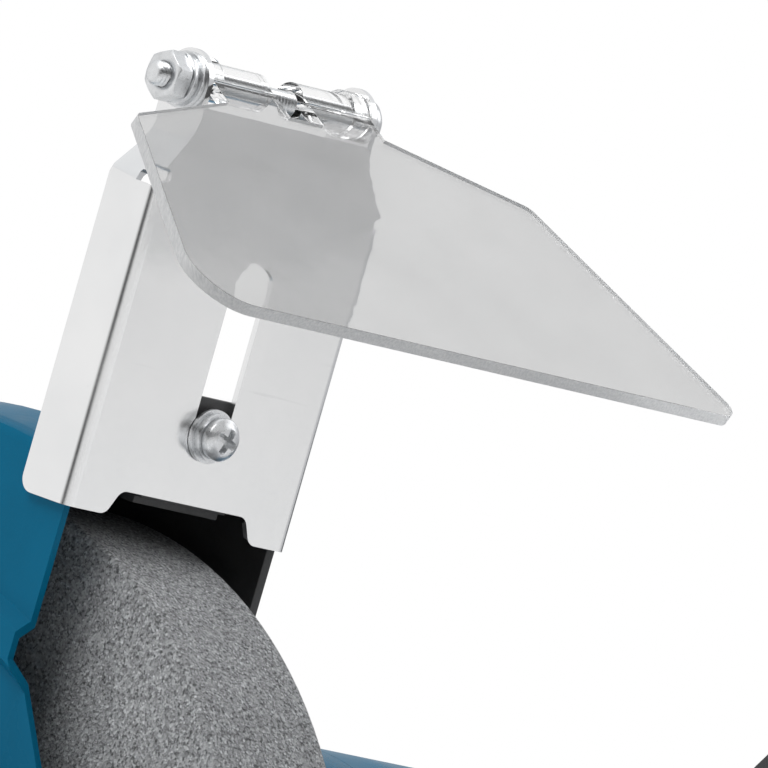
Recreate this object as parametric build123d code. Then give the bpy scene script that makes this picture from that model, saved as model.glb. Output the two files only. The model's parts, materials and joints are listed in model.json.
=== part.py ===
from build123d import *
import math
import os

# Double-ended bench grinder with 150 mm wheels. Millimetres, +Z up.
# X runs along the spindle, the operator stands at -Y, and Z = 0 is the bench.
# Side shapes are drawn as (forward, up) measured from the spindle.

# ---- driving dimensions ---------------------------------------------------------
SPINDLE_HEIGHT = 125.0
WHEEL_RADIUS = 75.0
WHEEL_WIDTH = 25.0
WHEEL_MID_X = 127.0
BLOTTER = 0.5
FLANGE_RADIUS = 26.0
INNER_FLANGE = 7.0
OUTER_FLANGE = 5.5
SPINDLE_RADIUS = 6.35
SPINDLE_THREAD_RADIUS = 6.0
SPINDLE_NUT_FLATS = 19.0
SPINDLE_NUT = 10.0

MOTOR_RADIUS = 46.0
MOTOR_WALL = 3.5
HOUSING_HALF = 62.0
BELL_NOSE_RADIUS = 34.0
ROTOR_RADIUS = 25.0
CORE_BORE_RADIUS = 9.0
AIR_GAP = 0.5
CORE_HALF = 36.0
STATOR_SLOTS = 24
JOURNAL_RADIUS = 7.5
BEARING_RADIUS = 17.5
BEARING_WIDTH = 11.0
BEARING_X = 87.0
BALL_RADIUS = 2.8
BALLS = 8
TIE_BOLT_CIRCLE = 39.5
TIE_BOLT_RADIUS = 2.5
GUARD_SCREW_CIRCLE = 27.0

GUARD_RADIUS = 85.4
GUARD_WALL = 1.7
DRUM_WALL = 1.4
GUARD_INBOARD = 35.2          # inboard face, from the wheel's outboard face
COVER_FACE = 10.0             # outboard face, from the wheel's outboard face
COVER_SHEET = 1.2
COVER_EDGE_RADIUS = 86.0
COVER_RIM_RADIUS = 88.0
COVER_RIM_IN = 3.0
BEAD_HEIGHT = 2.5
DOME_HEIGHT = 15.0
POST_CIRCLE = 79.6
POST_RADIUS = 3.4
POST_ANGLES = (100.0, 205.0, 300.0)

BRACKET_LEAN = 22.5           # degrees that the bracket's plate leans forward
BRACKET_SHEET = 1.0
BRACKET_HALF = 23.85
BRACKET_FRONT = 23.4          # plate's front face, from the spindle along its normal
BRACKET_BOTTOM = 77.0         # measured from the spindle along the plate
BRACKET_BEND = 127.0
BRACKET_DEPTH = 10.75
BRACKET_BEND_RADIUS = 2.0
EAR_HALF = 18.1
EAR_START = 134.5
WEB_TOP = 139.0
WEB_KICK = 6.0                # degrees that the web above the bend leans back
NOTCH_HALF_TOP = 13.3
NOTCH_HALF_BOTTOM = 15.4
NOTCH_HEIGHT = 4.0
SLOT_WIDTH = 7.3
SLOT_BOTTOM = 11.2            # above the plate's bottom edge
SLOT_TOP = 41.1
CLAMP_HEIGHT = 15.0           # clamp screw, above the plate's bottom edge
CLAMP_OFFSET = 1.0            # clamp screw, inboard of the wheel's mid plane
SLIDE_GAP = 0.1

HINGE_ALONG = 143.3
HINGE_OUT = 17.3
EAR_ROUND = 5.0
HINGE_RADIUS = 2.0
HINGE_BORE = 2.06
HINGE_NUT_FLATS = 7.0
KNUCKLE_RADIUS = 3.5
COLLAR_RADIUS = 4.2
SHIELD_SLOPE = 50.1           # degrees that the shield drops in front of its hinge
SHIELD_SHEET = 2.0
SHIELD_REAR_HALF = 42.5
SHIELD_LIFT = 1.1              # underside of the pane above the hinge axis
SHIELD_REAR = 18.0
SHIELD_FRONT_HALF = 58.7
SHIELD_FRONT = 63.8
SHIELD_NECK_HALF = 17.0
SHIELD_NECK = 8.6
SHIELD_OUTBOARD_CORNER = 8.5
SHIELD_INBOARD_CORNER = 3.0

REST_HALF = 27.0
REST_SHEET = 3.0
REST_TOP = -2.0               # from the spindle
REST_GAP = 2.0
REST_DEPTH = 38.0
REST_FLANGE_DEPTH = 30.0
REST_BOLT_RADIUS = 3.0
REST_BOLT = (100.0, -19.0)
REST_TRAVEL = 12.0

FOOT_HEIGHT = 12.0
FOOT_RADIUS = 12.0
HOLE_RADIUS = 4.25
HOLE_HALF_X = 75.0
HOLE_HALF_Y = 58.0
LUG_RADIUS = 13.0
LUG_TOP = 21.0
BASE_HALF_X = 72.0
BASE_HALF_Y = 57.0
BASE_TOP = 50.0
BASE_WALL = 4.0
BASE_TAPER = 7.0
NECK_HALF_X = 50.0
NECK_HALF_Y = 36.0
NECK_TOP = 97.0
NECK_CEILING = 74.0
SADDLE_SCREW_X = (-36.0, 36.0)
SWITCH_Z = 33.0
PANEL_Y = -61.0
SWITCH_BODY = (27.0, 19.0)    # width, height
ROCKER_PIVOT = 1.0            # behind the panel's front
ROCKER_RADIUS = 7.3
GLAND_X = 42.0
GLAND_Z = 31.0
CORD_RADIUS = 3.75

# ---- derived places ---------------------------------------------------------------
WHEEL_OUT = -(WHEEL_MID_X + WHEEL_WIDTH / 2)     # left wheel's outboard face
WHEEL_IN = WHEEL_OUT + WHEEL_WIDTH
SHOULDER_X = WHEEL_IN + BLOTTER + INNER_FLANGE
GUARD_FACE_X = WHEEL_OUT + GUARD_INBOARD
NUT_X = WHEEL_OUT - BLOTTER - OUTER_FLANGE
HINGE_MID_X = -WHEEL_MID_X
LEAN = math.radians(BRACKET_LEAN)
AXIS_POINT = (0, 0, SPINDLE_HEIGHT)

# The bracket's own frame: x along the spindle, y up the plate, z out of its front.
PLATE_FRAME = Plane(
    origin=(-WHEEL_MID_X, 0, SPINDLE_HEIGHT),
    x_dir=(1, 0, 0),
    z_dir=(0, -math.cos(LEAN), -math.sin(LEAN)),
)
PLATE_BACK = BRACKET_FRONT - BRACKET_SHEET
CLAMP_ALONG = BRACKET_BOTTOM + CLAMP_HEIGHT
HINGE_FORWARD = HINGE_ALONG * math.sin(LEAN) + HINGE_OUT * math.cos(LEAN)
HINGE_UP = HINGE_ALONG * math.cos(LEAN) - HINGE_OUT * math.sin(LEAN)

# The shield's own frame: x along the hinge, -y down its slope, z out of its top.
SLOPE = math.radians(SHIELD_SLOPE)
SHIELD_FRAME = Plane(
    origin=(HINGE_MID_X, -HINGE_FORWARD, SPINDLE_HEIGHT + HINGE_UP),
    x_dir=(1, 0, 0),
    z_dir=(0, -math.sin(SLOPE), math.cos(SLOPE)),
)

LOW = (Align.CENTER, Align.CENTER, Align.MIN)


# ---- helpers ------------------------------------------------------------------------
def rod(radius, x0, x1, forward=0.0, up=0.0):
    """Cylinder along X between x0 and x1."""
    start = min(x0, x1)
    place = Pos(start, -forward, SPINDLE_HEIGHT + up) * Rot(0, 90, 0)
    return place * Cylinder(radius, abs(x1 - x0), align=LOW)


def ring(outer, inner, x0, x1, forward=0.0, up=0.0):
    """Hollow cylinder along X."""
    return rod(outer, x0, x1, forward, up) - rod(inner, x0 - 1, x1 + 1, forward, up)


def hexagon(flats, x0, x1, forward=0.0, up=0.0, turn=0.0):
    """Hexagonal prism along X with lightly rounded corners."""
    sketch = RegularPolygon(flats / 2, 6, major_radius=False)
    place = Pos(min(x0, x1), -forward, SPINDLE_HEIGHT + up) * Rot(0, 90, 0) * Rot(0, 0, turn)
    prism = place * extrude(sketch, abs(x1 - x0))
    return prism & rod(flats * 0.562, x0, x1, forward, up)


def side_face(points):
    """Face in the YZ plane from (forward, up) points."""
    outline = [(-forward, SPINDLE_HEIGHT + up) for forward, up in points]
    return Plane.YZ * make_face(Polyline(outline, close=True))


def side_plate(points, x0, x1):
    """Plate square to the spindle from (forward, up) points."""
    return Pos(min(x0, x1), 0, 0) * extrude(side_face(points), abs(x1 - x0), dir=(1, 0, 0))


def from_plate(along, out):
    """(forward, up) of a point given along the bracket's plate and out of it."""
    forward = along * math.sin(LEAN) + out * math.cos(LEAN)
    up = along * math.cos(LEAN) - out * math.sin(LEAN)
    return forward, up


def polar(radius, degrees):
    """(forward, up) of a point at an angle above the front."""
    return radius * math.cos(math.radians(degrees)), radius * math.sin(math.radians(degrees))


def revolved(points):
    """Solid of revolution about the spindle from (x, radius) points."""
    outline = [(x, SPINDLE_HEIGHT + radius) for x, radius in points]
    face = Plane.XZ * make_face(Polyline(outline, close=True))
    return revolve(face, Axis(AXIS_POINT, (1, 0, 0)), 360)


def mirrored(shape):
    return mirror(shape, about=Plane.YZ)


def both(shape):
    """The left-hand piece and its right-hand twin, as two solids."""
    return [shape, mirrored(shape)]


def save(name, *shapes):
    solids = [solid for shape in shapes for solid in shape.solids()]
    body = solids[0] if len(solids) == 1 else Compound(children=solids)
    export_step(body, os.path.join("parts", name + ".step"))


# ---- rotor: everything that turns ----------------------------------------------------
def make_shaft():
    half = rod(CORE_BORE_RADIUS, 2 - BEARING_X, 0)
    half += rod(JOURNAL_RADIUS, SHOULDER_X, 3 - BEARING_X)
    half += rod(SPINDLE_RADIUS, NUT_X, SHOULDER_X + 1)
    half += rod(SPINDLE_THREAD_RADIUS, NUT_X - SPINDLE_NUT - 2.0, NUT_X + 1)
    return half + mirrored(half)


def make_rotor_core():
    return ring(ROTOR_RADIUS, CORE_BORE_RADIUS, -CORE_HALF, CORE_HALF)


def make_end_ring():
    """Cast cage ring with short fan blades, left-hand end."""
    body = ring(ROTOR_RADIUS - 1.5, 14.0, -CORE_HALF - 8, -CORE_HALF)
    blade = Pos(-CORE_HALF - 14, 0, SPINDLE_HEIGHT + 19) * Box(12.2, 2.0, 7.0)
    for index in range(8):
        body += blade.rotate(Axis(AXIS_POINT, (1, 0, 0)), index * 45)
    return body


def make_wheel():
    return ring(WHEEL_RADIUS, SPINDLE_RADIUS + 0.05, WHEEL_OUT, WHEEL_IN)


def make_blotters():
    disc = ring(FLANGE_RADIUS + 9, SPINDLE_RADIUS + 0.05, WHEEL_OUT - BLOTTER, WHEEL_OUT)
    return [disc, Pos(WHEEL_WIDTH + BLOTTER, 0, 0) * disc]


def make_flange(outboard):
    """Wheel flange, hollowed so that it bears on a ring at its rim."""
    thickness = OUTER_FLANGE if outboard else INNER_FLANGE
    wheel_side = WHEEL_OUT - BLOTTER if outboard else WHEEL_IN + BLOTTER
    outer = -1 if outboard else 1
    hub = 16.0
    relief = 1.2
    body = rod(FLANGE_RADIUS, wheel_side, wheel_side + outer * (thickness - 2.5))
    body += rod(hub, wheel_side, wheel_side + outer * thickness)
    body -= rod(FLANGE_RADIUS - 6, wheel_side, wheel_side + outer * relief)
    return body - rod(SPINDLE_RADIUS + 0.02, wheel_side - 20, wheel_side + 20)


def make_spindle_nut():
    end = NUT_X - SPINDLE_NUT
    return hexagon(SPINDLE_NUT_FLATS, NUT_X, end) - rod(SPINDLE_THREAD_RADIUS, NUT_X + 1, end - 1)


def make_bearing_rings():
    """Inner ring, outer ring and balls of the left-hand bearing."""
    x0 = -BEARING_X - BEARING_WIDTH
    pitch = (BEARING_RADIUS + JOURNAL_RADIUS) / 2
    groove = Torus(pitch, BALL_RADIUS + 0.03)
    groove = Pos(x0 + BEARING_WIDTH / 2, 0, SPINDLE_HEIGHT) * Rot(0, 90, 0) * groove
    inner = ring(pitch - 1.6, JOURNAL_RADIUS, x0, x0 + BEARING_WIDTH) - groove
    outer = ring(BEARING_RADIUS, pitch + 1.6, x0, x0 + BEARING_WIDTH) - groove
    ball = Pos(x0 + BEARING_WIDTH / 2, 0, SPINDLE_HEIGHT + pitch) * Sphere(BALL_RADIUS)
    axis = Axis(AXIS_POINT, (1, 0, 0))
    balls = [ball.rotate(axis, index * 360 / BALLS) for index in range(BALLS)]
    return inner, outer, balls


# ---- motor --------------------------------------------------------------------------
def make_housing():
    barrel = ring(MOTOR_RADIUS, MOTOR_RADIUS - MOTOR_WALL, -HOUSING_HALF, HOUSING_HALF)
    barrel -= Pos(0, 0, SPINDLE_HEIGHT - MOTOR_RADIUS) * Cylinder(7, 16)
    for x in SADDLE_SCREW_X:
        barrel -= Pos(x, 0, SPINDLE_HEIGHT - MOTOR_RADIUS) * Cylinder(2.45, 16)
    return barrel


def make_bell():
    """Left end bell: barrel spigot, shoulder, bearing seat and guard face."""
    joint = -HOUSING_HALF
    nose = GUARD_FACE_X
    seat_in = -BEARING_X
    seat_out = -BEARING_X - BEARING_WIDTH
    inner = MOTOR_RADIUS - MOTOR_WALL
    body = revolved([
        (joint, MOTOR_RADIUS), (joint - 14, MOTOR_RADIUS), (joint - 20, MOTOR_RADIUS - 1.8),
        (joint - 25, MOTOR_RADIUS - 6.5), (joint - 31, BELL_NOSE_RADIUS + 3),
        (joint - 35, BELL_NOSE_RADIUS), (nose, BELL_NOSE_RADIUS), (nose, JOURNAL_RADIUS + 1.5),
        (seat_out, JOURNAL_RADIUS + 1.5), (seat_out, BEARING_RADIUS), (seat_in, BEARING_RADIUS),
        (seat_in, BEARING_RADIUS + 4), (seat_out + 3, BEARING_RADIUS + 4),
        (seat_out + 3, BELL_NOSE_RADIUS - 6), (joint - 28, BELL_NOSE_RADIUS - 2),
        (joint - 22, inner - 8), (joint - 15, inner - 1), (joint, inner - 1),
    ])
    for degrees in tie_bolt_angles():
        forward, up = polar(TIE_BOLT_CIRCLE, degrees)
        body += rod(5.5, joint, joint - 17, forward, up) & rod(MOTOR_RADIUS, joint, joint - 17)
        body -= rod(TIE_BOLT_RADIUS + 0.1, joint + 1, joint - 40, forward, up)
        body -= rod(5.2, joint - 17, joint - 40, forward, up)
    for forward, up in guard_screw_places():
        body -= rod(2.5, nose - 1, nose + 7, forward, up)
    return body


def tie_bolt_angles():
    return [45 + 90 * index for index in range(4)]


def guard_screw_places():
    return [polar(GUARD_SCREW_CIRCLE, 90 + 120 * index) for index in range(3)]


def make_tie_bolts():
    bolts = []
    end = HOUSING_HALF + 17
    for degrees in tie_bolt_angles():
        forward, up = polar(TIE_BOLT_CIRCLE, degrees)
        bolt = rod(TIE_BOLT_RADIUS, -end, end + 5, forward, up)
        bolt += rod(4.6, -end - 3.2, -end, forward, up)
        bolt -= Pos(-end - 3.2, -forward, SPINDLE_HEIGHT + up) * Box(2.4, 1.2, 12)
        bolts.append(bolt)
    return bolts


def make_tie_nuts():
    nuts = []
    end = HOUSING_HALF + 17
    for degrees in tie_bolt_angles():
        forward, up = polar(TIE_BOLT_CIRCLE, degrees)
        nut = hexagon(8.0, end, end + 4, forward, up)
        nuts.append(nut - rod(TIE_BOLT_RADIUS, end - 1, end + 6, forward, up))
    return nuts


def make_stator_core():
    bore = ROTOR_RADIUS + AIR_GAP
    core = ring(MOTOR_RADIUS - MOTOR_WALL, bore, -CORE_HALF, CORE_HALF)
    for degrees in tie_bolt_angles():
        forward, up = polar(TIE_BOLT_CIRCLE, degrees)
        core -= rod(TIE_BOLT_RADIUS + 1, -CORE_HALF - 1, CORE_HALF + 1, forward, up)
    return core - stator_slots(3.4, 35.6, bore - 1, CORE_HALF + 1)


def stator_slots(width, top, bottom, half):
    slot = Pos(0, 0, SPINDLE_HEIGHT + (top + bottom) / 2) * Box(2 * half, width, top - bottom)
    axis = Axis(AXIS_POINT, (1, 0, 0))
    return [slot.rotate(axis, index * 360 / STATOR_SLOTS) for index in range(STATOR_SLOTS)]


def make_windings():
    """Slot bars and the two bundles of end turns, as one piece."""
    turns = ring(36.0, 27.5, -CORE_HALF - 13, -CORE_HALF - 1)
    body = turns + mirrored(turns)
    for bar in stator_slots(3.0, 35.2, 28.4, CORE_HALF + 4):
        body += bar
    return body


# ---- wheel guards --------------------------------------------------------------------
def guard_mouth():
    """Side outline of the opening that both guard halves share."""
    return [
        from_plate(130.0, PLATE_BACK - SLIDE_GAP), from_plate(52.3, PLATE_BACK - 0.7),
        (41.4, 34.0), (53.0, -18.0), (57.0, -22.0), (130.0, -22.0), (150.0, 60.0),
    ]


def make_inner_guard():
    x1 = GUARD_FACE_X
    x0 = WHEEL_OUT - 0.3
    body = rod(GUARD_RADIUS, x0, x1) - rod(GUARD_RADIUS - DRUM_WALL, x0 - 1, x1 - GUARD_WALL)
    body -= rod(20.0, x1 - 5, x1 + 5)
    body -= side_plate(guard_mouth(), WHEEL_OUT - 20, x1 + 20)
    for degrees in POST_ANGLES:
        forward, up = polar(POST_CIRCLE, degrees)
        post = rod(POST_RADIUS, WHEEL_OUT - COVER_FACE + COVER_SHEET, x1 - 0.5, forward, up)
        body += post - rod(1.95, WHEEL_OUT - COVER_FACE, WHEEL_OUT + 6, forward, up)
    for forward, up in guard_screw_places():
        body -= rod(2.6, x1 - 5, x1 + 5, forward, up)
    for forward, up in rest_screw_places():
        body -= rod(2.6, x1 - 5, x1 + 5, forward, up)
    return body + make_clamp_lug()


def make_clamp_lug():
    """Tab at the drum's front edge that takes the bracket's clamp screw."""
    back = PLATE_BACK - SLIDE_GAP - 1.5
    lug = Pos(CLAMP_OFFSET, 89.0, back) * Box(18.0, 17.0, 1.5, align=LOW)
    lug = fillet(lug.edges().filter_by(Axis.Z).group_by(Axis.Y)[-1], 2.5)
    lug -= Pos(CLAMP_OFFSET, CLAMP_ALONG, back - 1) * Cylinder(2.0, 5, align=LOW)
    foot = Pos(CLAMP_OFFSET, 80.9, back) * Box(18.0, 3.0, 3.0, align=(Align.CENTER, Align.CENTER, Align.MAX))
    return PLATE_FRAME * (lug + foot)


def make_cover():
    """Pressed side cover: flat rim, raised bead, centre dome and a flared edge."""
    face = WHEEL_OUT - COVER_FACE
    rim = WHEEL_OUT + COVER_RIM_IN
    outside = [
        (rim, COVER_RIM_RADIUS), (face + 2.2, COVER_EDGE_RADIUS + 0.3),
        (face + 0.7, COVER_EDGE_RADIUS - 0.6), (face, COVER_EDGE_RADIUS - 2.2),
        (face, 62.5), (face - BEAD_HEIGHT, 60.6), (face - BEAD_HEIGHT, 55.9), (face, 54.0),
        (face, 42.0), (face - DOME_HEIGHT + 4, 34.5), (face - DOME_HEIGHT + 1, 32.0),
        (face - DOME_HEIGHT, 29.0),
    ]
    inside = [
        (rim, COVER_RIM_RADIUS - COVER_SHEET), (face + 2.4, COVER_EDGE_RADIUS - 0.9),
        (face + COVER_SHEET, COVER_EDGE_RADIUS - 2.3),
        (face + COVER_SHEET, 61.7), (face - BEAD_HEIGHT + COVER_SHEET, 59.8),
        (face - BEAD_HEIGHT + COVER_SHEET, 56.7), (face + COVER_SHEET, 54.8),
        (face + COVER_SHEET, 41.2), (face - DOME_HEIGHT + 4.4, 33.4),
        (face - DOME_HEIGHT + 2, 31.2), (face - DOME_HEIGHT + COVER_SHEET, 28.8),
    ]
    top = face - DOME_HEIGHT
    body = revolved(outside + [(top, 0), (top + COVER_SHEET, 0)] + inside[::-1])
    body -= side_plate(guard_mouth(), face - 30, rim + 5)
    for degrees in POST_ANGLES:
        forward, up = polar(POST_CIRCLE, degrees)
        body -= rod(2.2, face - 2, face + 3, forward, up)
    return body


def pan_screw(head_radius, head_height, radius, length, slot_depth=0.9):
    """Cross-recess screw along -Z with its head's seat at Z = 0."""
    head = Cylinder(head_radius, head_height, align=LOW)
    head = fillet(head.edges().group_by(Axis.Z)[-1], head_height * 0.45)
    shank = Pos(0, 0, -length) * Cylinder(radius, length, align=LOW)
    arm = Pos(0, 0, head_height - slot_depth) * Box(head_radius * 1.05, 0.9, 3, align=LOW)
    return head + shank - arm - arm.rotate(Axis.Z, 90)


def make_cover_screws():
    screws = []
    for degrees in POST_ANGLES:
        forward, up = polar(POST_CIRCLE, degrees)
        place = Pos(WHEEL_OUT - COVER_FACE, -forward, SPINDLE_HEIGHT + up) * Rot(0, -90, 0)
        screws.append(place * pan_screw(3.6, 2.4, 1.9, 6.5))
    return screws


def make_guard_screws():
    screws = []
    for forward, up in guard_screw_places():
        place = Pos(GUARD_FACE_X - GUARD_WALL, -forward, SPINDLE_HEIGHT + up) * Rot(0, -90, 0)
        screws.append(place * pan_screw(4.4, 2.4, 2.45, 7.5))
    return screws


# ---- shield bracket ------------------------------------------------------------------
def make_bracket():
    """Bent sheet channel that straddles the guard and carries the shield's hinge."""
    rear = BRACKET_FRONT - BRACKET_DEPTH
    body = bracket_web() + bracket_side(rear)
    body += mirror(bracket_side(rear), about=Plane.YZ)
    slot_length = SLOT_TOP - SLOT_BOTTOM
    slot_mid = BRACKET_BOTTOM + (SLOT_TOP + SLOT_BOTTOM) / 2
    slot = SlotOverall(slot_length, SLOT_WIDTH, rotation=90)
    body -= Pos(CLAMP_OFFSET, slot_mid, PLATE_BACK - 2) * extrude(slot, 6)
    relief = Cylinder(1.1, 5)
    for side in (-1, 1):
        body -= Pos(side * (BRACKET_HALF - 0.9), BRACKET_BEND + 0.7, BRACKET_FRONT - 2.2) * relief
    return PLATE_FRAME * body


def bracket_web():
    """Front plate with its bottom notch, and the narrower web above the bend."""
    flat_half = BRACKET_HALF - BRACKET_BEND_RADIUS
    notch_top = BRACKET_BOTTOM + NOTCH_HEIGHT
    right = [
        (NOTCH_HALF_TOP, notch_top), (NOTCH_HALF_BOTTOM, BRACKET_BOTTOM),
        (flat_half, BRACKET_BOTTOM), (flat_half, BRACKET_BEND),
    ]
    outline = right + [(-x, y) for x, y in right[::-1]]
    plate = extrude(make_face(Polyline(outline, close=True)), BRACKET_SHEET)
    notch_edges = plate.edges().filter_by(Axis.Z).filter_by(
        lambda edge: abs(edge.center().X) < flat_half - 1 and edge.center().Y < notch_top + 1)
    plate = Pos(0, 0, PLATE_BACK) * fillet(notch_edges, 2.0)
    upper = [
        (flat_half, BRACKET_BEND), (BRACKET_HALF - 0.9, BRACKET_BEND + 2.2),
        (EAR_HALF + 0.9, EAR_START + 0.2), (EAR_HALF, EAR_START + 2.8), (EAR_HALF, WEB_TOP),
    ]
    outline = upper + [(-x, y) for x, y in upper[::-1]]
    web = extrude(make_face(Polyline(outline, close=True)), BRACKET_SHEET)
    web = Pos(0, 0, PLATE_BACK) * web
    kick_axis = Axis((0, BRACKET_BEND, BRACKET_FRONT), (1, 0, 0))
    return plate + web.rotate(kick_axis, -WEB_KICK)


def bracket_side(rear):
    """Left flange: bend, straight run, inward step and the ear at its top."""
    half = BRACKET_HALF
    bend_in = BRACKET_BEND_RADIUS - BRACKET_SHEET
    corner_x = -half + BRACKET_BEND_RADIUS
    corner_z = BRACKET_FRONT - BRACKET_BEND_RADIUS
    section = (
        Pos(corner_x, corner_z) * (Circle(BRACKET_BEND_RADIUS) - Circle(bend_in))
        & Pos(corner_x, corner_z) * Rectangle(9, 9, align=(Align.MAX, Align.MIN))
    )
    bend_length = BRACKET_BEND - BRACKET_BOTTOM
    bend = Plane(origin=(0, BRACKET_BEND, 0), x_dir=(1, 0, 0), z_dir=(0, -1, 0)) * section
    bend = extrude(bend, bend_length, dir=(0, -1, 0))
    sheet = BRACKET_SHEET
    strip = [
        (-half, BRACKET_BOTTOM), (-half, BRACKET_BEND), (-half + 0.5, BRACKET_BEND + 1.3),
        (-EAR_HALF - 0.5, EAR_START - 1.3), (-EAR_HALF, EAR_START), (-EAR_HALF, 152.0),
        (-EAR_HALF + sheet, 152.0), (-EAR_HALF + sheet, EAR_START - 0.3),
        (-EAR_HALF + 0.4, EAR_START - 1.9), (-half + 1.4, BRACKET_BEND + 0.7),
        (-half + sheet, BRACKET_BEND - 0.3), (-half + sheet, BRACKET_BOTTOM),
    ]
    walls = Pos(0, 0, rear) * extrude(make_face(Polyline(strip, close=True)), 20)
    web_height = WEB_TOP - BRACKET_BEND
    web_out = BRACKET_FRONT - web_height * math.sin(math.radians(WEB_KICK))
    outline = [
        (BRACKET_BOTTOM, rear), (BRACKET_BOTTOM, corner_z), (BRACKET_BEND, corner_z),
        (BRACKET_BEND + 0.8, BRACKET_FRONT - 0.1), (WEB_TOP, web_out),
        (HINGE_ALONG, HINGE_OUT + EAR_ROUND), (HINGE_ALONG, HINGE_OUT - EAR_ROUND),
        (BRACKET_BEND + 8, rear),
    ]
    side = Plane(origin=(-40, 0, 0), x_dir=(0, 1, 0), z_dir=(1, 0, 0))
    silhouette = extrude(side * make_face(Polyline(outline, close=True)), 40)
    rear_corner = silhouette.edges().filter_by(Axis.X).filter_by(
        lambda edge: edge.center().Y < BRACKET_BOTTOM + 1 and edge.center().Z < rear + 1)
    silhouette = fillet(rear_corner, 2.5)
    hinge_place = side * Pos(HINGE_ALONG, HINGE_OUT, 0)
    silhouette += hinge_place * Cylinder(EAR_ROUND, 40, align=LOW)
    hole = hinge_place * Cylinder(HINGE_RADIUS, 40, align=LOW)
    return bend + (walls & silhouette) - hole


def make_clamp_screw():
    seat = BRACKET_FRONT + SLIDE_GAP + 1.9
    screw = pan_screw(3.3, 2.5, 1.95, 9.5, slot_depth=1.3)
    return PLATE_FRAME * Pos(CLAMP_OFFSET, CLAMP_ALONG, seat) * screw


def make_clamp_washers():
    """Flat washer on the bracket and a split spring washer under the head."""
    seat = BRACKET_FRONT + SLIDE_GAP
    flat = Pos(0, 0, seat) * (Cylinder(4.2, 0.8, align=LOW) - Cylinder(2.0, 2, align=LOW))
    spring = Cylinder(3.7, 1.1, align=LOW) - Cylinder(2.0, 3, align=LOW)
    spring -= Pos(3, 0, 0.5) * Rot(35, 0, 0) * Box(4, 0.5, 4)
    spring = Pos(0, 0, seat + 0.8) * spring
    place = PLATE_FRAME * Pos(CLAMP_OFFSET, CLAMP_ALONG, 0)
    return [place * flat, place * spring]


def make_clamp_nut():
    back = PLATE_BACK - SLIDE_GAP - 1.5
    nut = extrude(RegularPolygon(3.5, 6, major_radius=False), 3.0) - Cylinder(1.96, 9)
    return PLATE_FRAME * Pos(CLAMP_OFFSET, CLAMP_ALONG, back - 3.0) * nut


# ---- shield hinge and shield ------------------------------------------------------------
def on_hinge(radius, x0, x1):
    return rod(radius, HINGE_MID_X + x0, HINGE_MID_X + x1, HINGE_FORWARD, HINGE_UP)


def make_hinge_bolt():
    bolt = on_hinge(HINGE_RADIUS, -25.3, EAR_HALF + 2.0)
    head = on_hinge(3.7, EAR_HALF + 0.9, EAR_HALF + 3.5)
    return bolt + fillet(head.edges().group_by(Axis.X)[-1], 0.8)


def make_hinge_washers():
    """Two flat washers and a spring washer at the nut, one flat washer at the head."""
    sizes = ((-EAR_HALF - 0.8, -EAR_HALF, 4.4), (-EAR_HALF - 1.7, -EAR_HALF - 0.8, 3.8),
             (-EAR_HALF - 2.2, -EAR_HALF - 1.7, 4.1), (EAR_HALF, EAR_HALF + 0.9, 4.3))
    hole = on_hinge(HINGE_RADIUS, -40, 40)
    return [on_hinge(radius, x0, x1) - hole for x0, x1, radius in sizes]


def make_hinge_nut():
    x1 = HINGE_MID_X - EAR_HALF - 2.2
    nut = hexagon(HINGE_NUT_FLATS, x1 - 3.0, x1, HINGE_FORWARD, HINGE_UP, turn=0)
    return nut - on_hinge(HINGE_RADIUS, -40, 0)


def make_shield():
    """Clear pane with two knuckles that turn on the hinge bolt."""
    half = [
        (SHIELD_NECK_HALF, -SHIELD_NECK), (SHIELD_REAR_HALF, -SHIELD_REAR),
        (SHIELD_FRONT_HALF, -SHIELD_FRONT),
    ]
    outline = half + [(-x, y) for x, y in half[::-1]]
    pane = Pos(0, 0, SHIELD_LIFT) * extrude(make_face(Polyline(outline, close=True)), SHIELD_SHEET)
    front_corners = pane.edges().filter_by(Axis.Z).group_by(Axis.Y)[0].sort_by(Axis.X)
    pane = fillet(front_corners[0], SHIELD_OUTBOARD_CORNER)
    front_corner = pane.edges().filter_by(Axis.Z).sort_by(Axis.X)[-1]
    pane = fillet(front_corner, SHIELD_INBOARD_CORNER)
    uprights = pane.edges().filter_by(Axis.Z).filter_by(
        lambda edge: abs(edge.center().X) > SHIELD_REAR_HALF - 1 and edge.center().Y > -SHIELD_REAR - 1)
    pane = fillet(uprights, 2.5)
    end = EAR_HALF - BRACKET_SHEET - 0.2
    inner = 3.6
    bars = (((inner + end) / 2, end - inner, KNUCKLE_RADIUS), (end - 1.4, 2.8, COLLAR_RADIUS))
    for side in (-1, 1):
        for middle, length, radius in bars:
            pane += Pos(side * middle, 0, 0) * Rot(0, 90, 0) * Cylinder(radius, length)
        link = Box(end - inner, SHIELD_NECK + 2, SHIELD_SHEET, align=(Align.CENTER, Align.MAX, Align.MIN))
        pane += Pos(side * (inner + end) / 2, 0, SHIELD_LIFT) * link
    pane -= Rot(0, 90, 0) * Cylinder(HINGE_BORE, 60)
    return SHIELD_FRAME * pane


# ---- tool rests --------------------------------------------------------------------------
def rest_screw_places():
    return [(66.0, -33.0), (50.0, -46.0)]


def make_rest_bracket():
    """Flat arm bolted to the guard's inboard wall."""
    outline = [(44, -40), (56, -30), (70, -24), (92, -8.5), (108, -8.5), (110, -28), (80, -40), (58, -54), (46, -54)]
    arm = side_plate(outline, GUARD_FACE_X, GUARD_FACE_X + 3)
    arm = fillet(arm.edges().filter_by(Axis.X), 2.0)
    for forward, up in rest_screw_places():
        arm -= rod(2.6, GUARD_FACE_X - 1, GUARD_FACE_X + 5, forward, up)
    return arm - rod(REST_BOLT_RADIUS, GUARD_FACE_X - 1, GUARD_FACE_X + 5, *REST_BOLT)


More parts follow.
